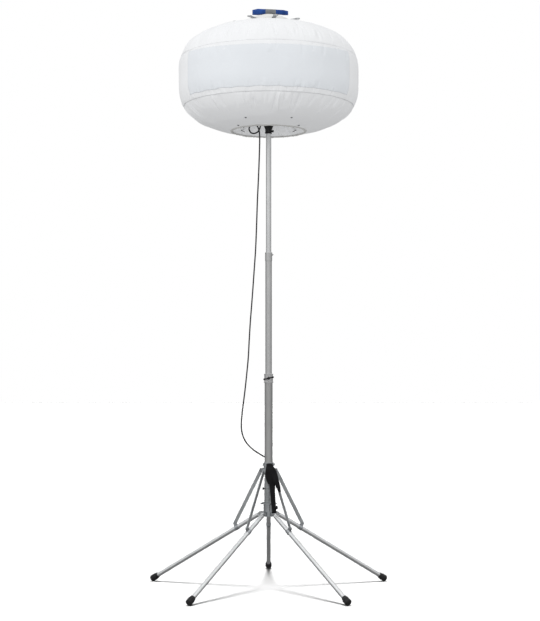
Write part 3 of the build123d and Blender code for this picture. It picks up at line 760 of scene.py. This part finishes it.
# The meridian of each band, as radius and level
crown_radii = np.linspace(side_radius(UPPER_SEAM_Z), TOP_HOLE_RADIUS, END_POINTS)
side_levels = np.linspace(LOWER_SEAM_Z, UPPER_SEAM_Z, SIDE_POINTS)
belly_radii = np.linspace(MOUTH_RADIUS, side_radius(LOWER_SEAM_Z), END_POINTS)
crown_line = np.stack([crown_radii, crown_height(crown_radii)], axis=1)
side_line = np.stack([side_radius(side_levels), side_levels], axis=1)
belly_line = np.stack([belly_radii, belly_height(belly_radii)], axis=1)


def on_upper(item, slot, look=None):
    finish_with(item, slot, look)
    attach(item, "upper")


def balloon_band(name, line, rows, relief):
    """A band of cloth round the balloon; relief(azimuths, along) is how deep each point lies."""
    meridian, along = spaced(line, rows)
    azimuths = circle(COLUMNS)
    radius, level = pushed_in(meridian, relief(azimuths, along))
    points = about_mast(radius, azimuths, level)
    band = grid(name, points, cloth_uv(azimuths, along, BALLOON_RADIUS), around=True)
    thicken(band, CLOTH)
    on_upper(band, "balloon_cloth")
    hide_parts(name)


balloon_band("balloon_crown", crown_line, CROWN_ROWS, crown_relief)
balloon_band("balloon_side", side_line, SIDE_ROWS, side_relief)
balloon_band("balloon_belly", belly_line, BELLY_ROWS, belly_relief)


# ---------------------------------------------------------------- seam threads
BEAD_SUNK = 0.0005
around = circle(COLUMNS)


def ring_tube(name, radius, height, thickness, sides):
    """A tube about the mast axis; radius, height and thickness have one value for each column."""
    turn = circle(sides)[None, :]
    out = radius[:, None] + thickness[:, None] * np.cos(turn)
    level = height[:, None] + thickness[:, None] * np.sin(turn)
    points = about_mast(out, around[:, None], level)
    faces = [(a, d, c, b) for a, b, c, d in quads(COLUMNS, sides, closed=True)]
    return new_mesh_object(name, points.reshape(-1, 3), faces)


for name, level, bead, seed, look in (
    ("upper_seam_bead", UPPER_SEAM_Z, 0.0011, 21, "balloon_cloth"),
    ("lower_seam_bead", LOWER_SEAM_Z, 0.0017, 22, "seam_cloth"),
):
    rng = random.Random(seed)
    seam_level = level + waves(rng, around, count=5, low=5, high=40, size=0.003)
    seam_radius = side_radius(seam_level) - BEAD_SUNK
    seam = ring_tube(name, seam_radius, seam_level, np.full(COLUMNS, bead), sides=8)
    on_upper(seam, "balloon_cloth", look)


# ---------------------------------------------------------------- front panel
PANEL_HALF_COLUMNS, PANEL_BOTTOM, PANEL_TOP = 122, 3.462, 3.768
PANEL_PROUD, PANEL_CLOTH = 0.0016, 0.0008
PANEL_TOP_DROP = 0.02                        # the top edge hangs lower in the middle
PANEL_FLAT_EDGE = 0.04                       # its own folds fade out towards its edges
PANEL_RAGGED, PANEL_RAGGED_BAND = 0.004, 0.03   # unevenness of its bottom edge


def front_panel():
    """The panel sewn on the front of the side band, laid on the band's own rows and columns."""
    meridian, along = spaced(side_line, SIDE_ROWS)
    relief = side_relief(around, along) - PANEL_PROUD
    rows = (meridian[:, 1] >= PANEL_BOTTOM) & (meridian[:, 1] <= PANEL_TOP)
    columns = np.arange(-PANEL_HALF_COLUMNS, PANEL_HALF_COLUMNS + 1) % COLUMNS
    radius, plain = (part[rows][:, columns] for part in pushed_in(meridian, relief))
    azimuths = wrapped(around[columns])
    edge = azimuths[-1]
    along = along[rows] - along[rows][0]
    length = along[-1]
    rng = random.Random(31)
    sag = folds(rng, azimuths, along, count=26, starts=(0.0, 0.1), ends=(0.15, 0.33),
                widths=(0.02, 0.08), depths=(0.0006, 0.0016))
    beside = (edge - np.abs(azimuths))[None, :] * BALLOON_RADIUS
    ends = np.minimum(along, length - along)[:, None]
    loose = np.clip(np.minimum(ends, beside) / PANEL_FLAT_EDGE, 0, 1)
    radius = radius + np.clip(sag * loose, 0, None)
    ragged = waves(rng, azimuths, count=6, low=12, high=70, size=PANEL_RAGGED)
    level = plain + np.clip(1 - along / PANEL_RAGGED_BAND, 0, 1)[:, None] * ragged
    lowered = PANEL_TOP_DROP * (1 - (azimuths / edge) ** 2)
    level = level - np.clip(along / length * 2 - 1, 0, 1)[:, None] * lowered
    radius = radius + side_radius(level) - side_radius(plain)
    points = about_mast(radius, azimuths, level)
    panel = grid("front_panel", points, cloth_uv(azimuths, along, BALLOON_RADIUS))
    thicken(panel, PANEL_CLOTH)
    on_upper(panel, "balloon_cloth", "panel_cloth")


front_panel()


# ---------------------------------------------------------------- mouth
HEM_RIPPLE, HEM_WAVE, HEM_LIFT = 0.0022, 0.003, 0.001
HEM_THICKNESS, HEM_GATHER, HEM_GATHERS = 0.0062, 0.0024, 20
SKIRT_ROWS, SKIRT_COLUMNS = 36, 480
SKIRT_TOP_RADIUS, SKIRT_TOP_Z = 0.1053, 3.3485
SKIRT_INSIDE, SKIRT_LIFT = 0.001, 0.002      # its lower edge lies this far inside and above the hem
SKIRT_DRAPE = (-0.012, 0.02)                 # how far its folds may hang down and rise
SKIRT_BELLIED, SKIRT_FADE, SKIRT_CUT = 0.1, 0.2, 0.18


def hem():
    """The hem round the mouth, gathered by its drawcord."""
    rng = random.Random(41)
    ripple = waves(rng, around, count=7, low=9, high=34, size=1.0)
    radius = MOUTH_RADIUS + HEM_LIFT + HEM_RIPPLE * ripple
    level = MOUTH_Z + HEM_LIFT + HEM_WAVE * waves(rng, around, count=5, low=6, high=20, size=1.0)
    thickness = HEM_THICKNESS + HEM_GATHER * np.abs(np.sin(around * HEM_GATHERS + 3 * ripple))
    made = ring_tube("balloon_hem_gathered", radius, level, thickness, sides=12)
    # the darker hem cloth is painted shade along the mouth's rim
    on_upper(made, "balloon_cloth", "hem_cloth")
    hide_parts("balloon_hem")


def skirt():
    """The loose cloth between the mouth and the lamp's housing."""
    azimuths = circle(SKIRT_COLUMNS)
    share = np.linspace(0, 1, SKIRT_ROWS)
    rng = random.Random(42)
    radius = (MOUTH_RADIUS - SKIRT_INSIDE) * (1 - share) + SKIRT_TOP_RADIUS * share
    level = (MOUTH_Z + SKIRT_LIFT) * (1 - share) + SKIRT_TOP_Z * share
    rise = SKIRT_TOP_Z - MOUTH_Z
    drape = folds(rng, azimuths, share, count=38, starts=(-0.2, 0.2), ends=(0.5, 1.2),
                  widths=(0.03, 0.09), depths=(0.004, 0.011))
    drape += waves(rng, azimuths, count=4, low=5, high=12, size=0.006)[None, :]
    loose = np.clip(np.minimum(share, 1 - share) / SKIRT_FADE, 0, 1)[:, None]
    height = level[:, None] + np.clip(drape * loose, *SKIRT_DRAPE)
    height = height + SKIRT_BELLIED * rise * loose * share[:, None]
    points = about_mast(np.broadcast_to(radius[:, None], height.shape), azimuths, height)
    uv = cloth_uv(azimuths, share * SKIRT_CUT, MOUTH_RADIUS)
    piece = grid("balloon_skirt", points, uv, around=True)
    thicken(piece, CLOTH)
    on_upper(piece, "balloon_cloth")
    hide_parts("balloon_skirt")


hem()
skirt()


# ---------------------------------------------------------------- eyelets
EYELET_HOLE, EYELET_RADIUS, EYELET_SIDES = 0.003, 0.0075, 20
EYELET_PROUD, EYELET_SUNK = 0.0016, 0.001
EYELET_PLACES = ((0.405, (23, -23, 157, -157)), (0.300, (45, -45, 135, -135)))


def placed(points, azimuth, radius, height, tilt):
    """Points drawn as right, up and outward, put on the balloon at an azimuth from the front."""
    outward = np.array([sin(azimuth), -cos(azimuth), 0.0])
    side = np.array([cos(azimuth), sin(azimuth), 0.0])
    up = np.array([0.0, 0.0, 1.0])
    normal = outward * cos(tilt) + up * sin(tilt)
    rise = up * cos(tilt) - outward * sin(tilt)
    centre = outward * radius + up * height
    return [centre + side * p[0] + rise * p[1] + normal * p[2] for p in points]


def eyelet(azimuth, radius, height, tilt):
    """A small metal ring with a rounded face."""
    profile = [(EYELET_HOLE, 0.0), (EYELET_HOLE, EYELET_PROUD),
               (EYELET_RADIUS * 0.8, EYELET_PROUD * 1.2), (EYELET_RADIUS, EYELET_PROUD * 0.3),
               (EYELET_RADIUS, -EYELET_SUNK)]
    points = [(r * cos(angle), r * sin(angle), z)
              for angle in circle(EYELET_SIDES) for r, z in profile]
    faces = quads(EYELET_SIDES, len(profile), closed=True)
    return new_mesh_object("eyelet", placed(points, azimuth, radius, height, tilt), faces)


def eyelets():
    step = 0.001
    rings = []
    for radius, bearings in EYELET_PLACES:
        level, ahead = belly_height(radius), belly_height(radius + step)
        tilt = -atan2(step, ahead - level)
        rings += [eyelet(radians(bearing), radius, level - EYELET_SUNK, tilt)
                  for bearing in bearings]
    on_upper(merged("balloon_eyelets", rings), "guy_hardware", "motor_steel")


eyelets()


# ================================================================ strap
STRAP_THICKNESS, STRAP_CROWN = 0.003, 0.0012
STRAP_EDGE, STRAP_SQUARENESS = 0.15, 6       # thickness left at its edges, and how square they are
STRAP_POINTS, STRAP_STRIPS, STRAP_SMOOTHING = 40, 6, 4
# Each tail: its line, the width at each of its points, and the direction of its width
STRAP_TAILS = (
    ([(0.005, -0.041, 0.889), (0.006, -0.044, 0.868), (0.010, -0.066, 0.857),
      (0.016, -0.078, 0.835), (0.022, -0.084, 0.790), (0.026, -0.090, 0.740),
      (0.029, -0.094, 0.690), (0.033, -0.095, 0.620), (0.038, -0.094, 0.575),
      (0.040, -0.093, 0.540)],
     [0.044, 0.045, 0.048, 0.052, 0.050, 0.042, 0.034, 0.033, 0.032, 0.032], (1, 0.05, 0)),
    ([(0.012, -0.045, 0.885), (0.016, -0.052, 0.866), (0.026, -0.076, 0.852),
      (0.040, -0.092, 0.820), (0.052, -0.104, 0.780), (0.064, -0.112, 0.742),
      (0.074, -0.116, 0.712), (0.081, -0.116, 0.694)],
     [0.030, 0.034, 0.040, 0.044, 0.040, 0.034, 0.026, 0.014], (1, -0.25, 0.2)),
    ([(-0.004, -0.045, 0.884), (-0.008, -0.056, 0.862), (-0.009, -0.076, 0.846),
      (-0.012, -0.086, 0.815), (-0.006, -0.090, 0.775), (0.004, -0.094, 0.748)],
     [0.020, 0.022, 0.026, 0.026, 0.022, 0.014], (1, 0.2, -0.1)),
)


def smooth_line(points, widths):
    """Points and widths resampled along a soft curve through them."""
    points = np.asarray(points, float)
    steps = np.linalg.norm(np.diff(points, axis=0), axis=1)
    steps = np.concatenate([[0], np.cumsum(steps)])
    even = np.linspace(0, steps[-1], STRAP_POINTS)
    line = np.stack([np.interp(even, steps, points[:, k]) for k in range(3)], axis=1)
    width = np.interp(even, steps, widths)
    for _ in range(STRAP_SMOOTHING):
        for values in (line, width):
            values[1:-1] = (values[:-2] + 2 * values[1:-1] + values[2:]) / 4
    return line, width


def ribbon(name, line, widths, sideways):
    """A flat strap along a line of points, slightly crowned and with rounded edges."""
    line = [Vector(point) for point in line]
    sideways = Vector(sideways).normalized()
    profile = []
    for k in range(STRAP_STRIPS + 1):
        across = k / STRAP_STRIPS * 2 - 1
        full = STRAP_EDGE + (1 - STRAP_EDGE) * (1 - abs(across) ** STRAP_SQUARENESS) ** 0.5
        profile.append((across, full * STRAP_THICKNESS / 2, STRAP_CROWN * (1 - across**2)))
    outline = [(across, crown + half) for across, half, crown in profile]
    outline += [(across, crown - half) for across, half, crown in reversed(profile)]
    points = []
    for index, place in enumerate(line):
        direction = (line[min(index + 1, len(line) - 1)] - line[max(index - 1, 0)]).normalized()
        side = (sideways - direction * sideways.dot(direction)).normalized()
        normal = direction.cross(side).normalized()
        points += [place + side * (across * widths[index] / 2) + normal * out
                   for across, out in outline]
    faces = quads(len(line), len(outline)) + end_caps(len(line), len(outline))
    return new_mesh_object(name, points, [face[::-1] for face in faces])


tails = [ribbon("tail", *smooth_line(points, widths), sideways)
         for points, widths, sideways in STRAP_TAILS]
strap = merged("strap_webbing", tails)
finish_with(strap, "black_webbing")
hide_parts("strap")
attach(strap, "collar")
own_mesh(strap)


# ---------------------------------------------------------------- handle
HANDLE_COLUMNS, HANDLE_SIDES = 40, 28
HANDLE_TAPER, HANDLE_END = 4.5, 0.42         # how fast it grows from its ends, and its share there
HANDLE_TOP, HANDLE_LEAN, HANDLE_END_DROP = 0.004, 0.012, 0.006    # its top, from the CAD handle's
HANDLE_FOOT, HANDLE_ARCH = 0.001, 0.010                           # its underside, likewise
HANDLE_FLATTER, HANDLE_NARROWER = 0.38, 0.3  # how much of its height and width the taper takes
HANDLE_SWELL_ACROSS = 0.5
HANDLE_SQUARE_ACROSS, HANDLE_SQUARE_UP = 0.7, 0.8
HANDLE_RIPPLE, HANDLE_RIPPLES, HANDLE_RIPPLE_DRIFT, HANDLE_RIPPLE_SHARE = 0.03, 7, 40, (0.3, 1.0)


def squared(value, power):
    """The value raised to a power, with its sign kept."""
    return abs(value) ** power * (1 if value > 0 else -1)


def handle_section(name, start, end, swell_by, seed, look):
    """One padded stretch of the lifting handle, from the CAD handle's own outline."""
    low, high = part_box("lift_handle")
    rng = random.Random(seed)
    points = []
    for x in np.linspace(start, end, HANDLE_COLUMNS):
        share = (x - low.x) / (high.x - low.x)
        ends = min(1.0, HANDLE_TAPER * min(share, 1 - share) + HANDLE_END)
        top = high.z + HANDLE_TOP - HANDLE_LEAN * share - HANDLE_END_DROP * (1 - ends)
        bottom = low.z + HANDLE_FOOT + HANDLE_ARCH * (1 - (2 * share - 1) ** 2)
        half_height = (top - bottom) / 2 * (1 - HANDLE_FLATTER * (1 - ends)) + swell_by
        half_width = (high.y - low.y) / 2 * (1 - HANDLE_NARROWER * (1 - ends))
        half_width += swell_by * HANDLE_SWELL_ACROSS
        for angle in circle(HANDLE_SIDES):
            wave = HANDLE_RIPPLE * sin(HANDLE_RIPPLES * angle + HANDLE_RIPPLE_DRIFT * x)
            ripple = 1 + wave * rng.uniform(*HANDLE_RIPPLE_SHARE)
            y = half_width * squared(cos(angle), HANDLE_SQUARE_ACROSS) * ripple
            z = half_height * squared(sin(angle), HANDLE_SQUARE_UP) * ripple
            points.append((x, y, (top + bottom) / 2 + z))
    faces = quads(HANDLE_COLUMNS, HANDLE_SIDES) + end_caps(HANDLE_COLUMNS, HANDLE_SIDES)
    piece = new_mesh_object(name, points, faces)
    on_upper(piece, "blue_webbing", look)
    return piece


handle_section("handle_left", -0.116, -0.020, 0.0, 11, "blue_webbing")
handle_section("handle_right", 0.050, 0.140, 0.0, 12, "blue_webbing")
handle_grip = handle_section("handle_grip", -0.022, 0.052, 0.0004, 11, "grey_webbing")
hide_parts("lift_handle")


# ---------------------------------------------------------------- ties in the mouth
TIE_HALF_WIDTH, TIE_HALF_LENGTH, TIE_THICKNESS = 0.006, 0.017, 0.003
TIE_RADIUS, TIE_Z, TIE_TILT = 0.212, 3.284, radians(-62)
TIE_BEARINGS = (118, -118, 62, -62)


def tie(azimuth):
    """A flat tab of webbing inside the mouth."""
    outline = [(-TIE_HALF_WIDTH, -TIE_HALF_LENGTH), (-TIE_HALF_WIDTH, TIE_HALF_LENGTH),
               (TIE_HALF_WIDTH, TIE_HALF_LENGTH), (TIE_HALF_WIDTH, -TIE_HALF_LENGTH)]
    points = [(x, y, z) for z in (0, TIE_THICKNESS) for x, y in outline]
    faces = [(1, 2, 3, 0), (7, 6, 5, 4), (4, 5, 1, 0), (5, 6, 2, 1), (6, 7, 3, 2), (7, 4, 0, 3)]
    return new_mesh_object("tie", placed(points, azimuth, TIE_RADIUS, TIE_Z, TIE_TILT), faces)


ties = merged("mouth_ties", [tie(radians(bearing)) for bearing in TIE_BEARINGS])
on_upper(ties, "black_webbing")
